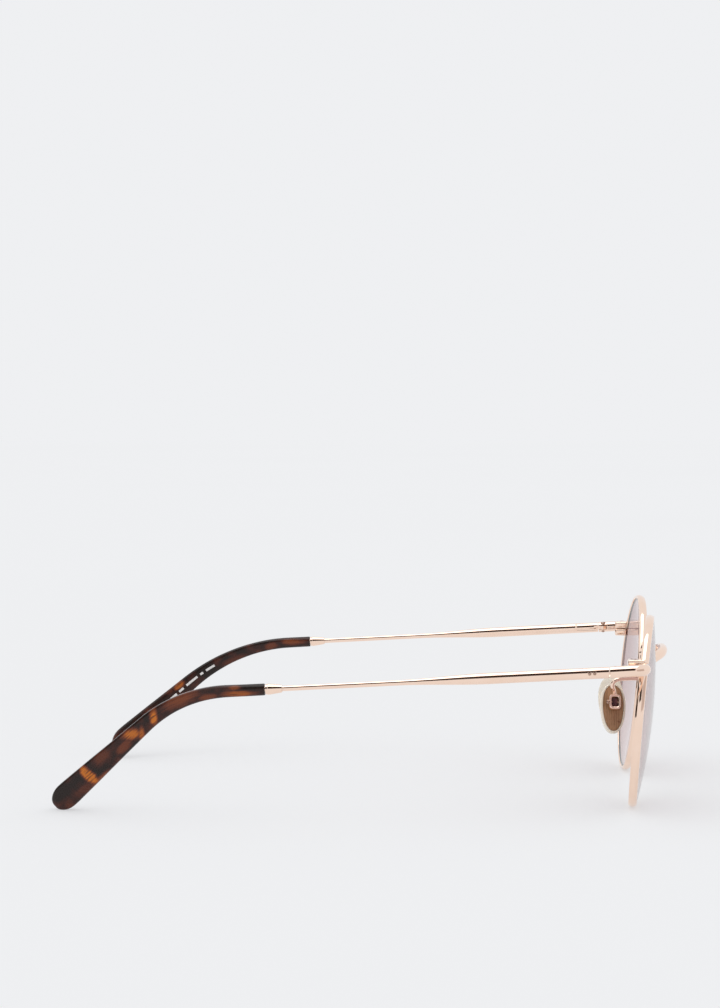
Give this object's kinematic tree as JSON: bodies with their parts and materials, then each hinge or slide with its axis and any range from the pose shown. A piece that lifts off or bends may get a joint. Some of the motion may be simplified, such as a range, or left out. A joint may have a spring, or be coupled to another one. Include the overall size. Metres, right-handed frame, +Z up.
{
  "type": "sunglasses",
  "caption": "Round metal wire-framed sunglasses with tinted lenses, folding temples, tortoiseshell ear tips and rocking clear nose pads.",
  "frame": {"origin": "centre of the footprint of the open glasses, on the surface that they stand on", "axes": "-Y the way the wearer looks, +Y back along the temples, +X to the wearer's left, +Z up"},
  "size_m": [0.1368, 0.1561, 0.0484],
  "materials": {
    "rose_gold": "polished rose-gold plating",
    "screw_steel": "polished",
    "tinted_lens": "mauve-brown tint, gloss",
    "havana_acetate": "dark tortoiseshell, satin outside and gloss inside",
    "clear_silicone": "clear, gloss",
    "pad_core_brown": "brown, satin"
  },
  "bodies": {
    "front": {"bridge": "rose_gold", "right_rim": "rose_gold", "right_lens": "tinted_lens", "right_closing_block_upper": "rose_gold", "right_closing_block_lower": "rose_gold", "right_rim_lock_screw": "screw_steel", "right_end_piece": "rose_gold", "right_hinge_screw": "screw_steel", "right_pad_arm": "rose_gold", "right_pad_box": "rose_gold", "right_pad_screw": "screw_steel", "left_rim": "rose_gold", "left_lens": "tinted_lens", "left_closing_block_upper": "rose_gold", "left_closing_block_lower": "rose_gold", "left_rim_lock_screw": "screw_steel", "left_end_piece": "rose_gold", "left_hinge_screw": "screw_steel", "left_pad_arm": "rose_gold", "left_pad_box": "rose_gold", "left_pad_screw": "screw_steel"},
    "right_temple_body": {"right_hinge_tongue": "screw_steel", "right_hinge_rivet_front": "screw_steel", "right_hinge_rivet_rear": "screw_steel", "right_temple": "rose_gold", "right_ferrule": "rose_gold", "right_temple_tip": "havana_acetate"},
    "right_pad_body": {"right_nose_pad": "clear_silicone", "right_pad_core": "pad_core_brown"},
    "left_temple_body": {"left_hinge_tongue": "screw_steel", "left_hinge_rivet_front": "screw_steel", "left_hinge_rivet_rear": "screw_steel", "left_temple": "rose_gold", "left_ferrule": "rose_gold", "left_temple_tip": "havana_acetate"},
    "left_pad_body": {"left_nose_pad": "clear_silicone", "left_pad_core": "pad_core_brown"}
  },
  "joints": [
    {"name": "right_temple_fold", "type": "hinge", "parent": "front", "child": "right_temple_body", "pos_m": [-0.0663, -0.06265, 0.03685], "axis": [0, 0, -1], "range_deg": [0, 84]},
    {"name": "right_pad_rock", "type": "hinge", "parent": "front", "child": "right_pad_body", "pos_m": [-0.01269, -0.06392, 0.0238], "axis": [-0.1831, 0.9807, 0.0681], "range_deg": [-8, 8]},
    {"name": "left_temple_fold", "type": "hinge", "parent": "front", "child": "left_temple_body", "pos_m": [0.0663, -0.06265, 0.03685], "axis": [0, 0, 1], "range_deg": [0, 72]},
    {"name": "left_pad_rock", "type": "hinge", "parent": "front", "child": "left_pad_body", "pos_m": [0.01269, -0.06392, 0.0238], "axis": [-0.1831, -0.9807, -0.0681], "range_deg": [-8, 8]}
  ]
}
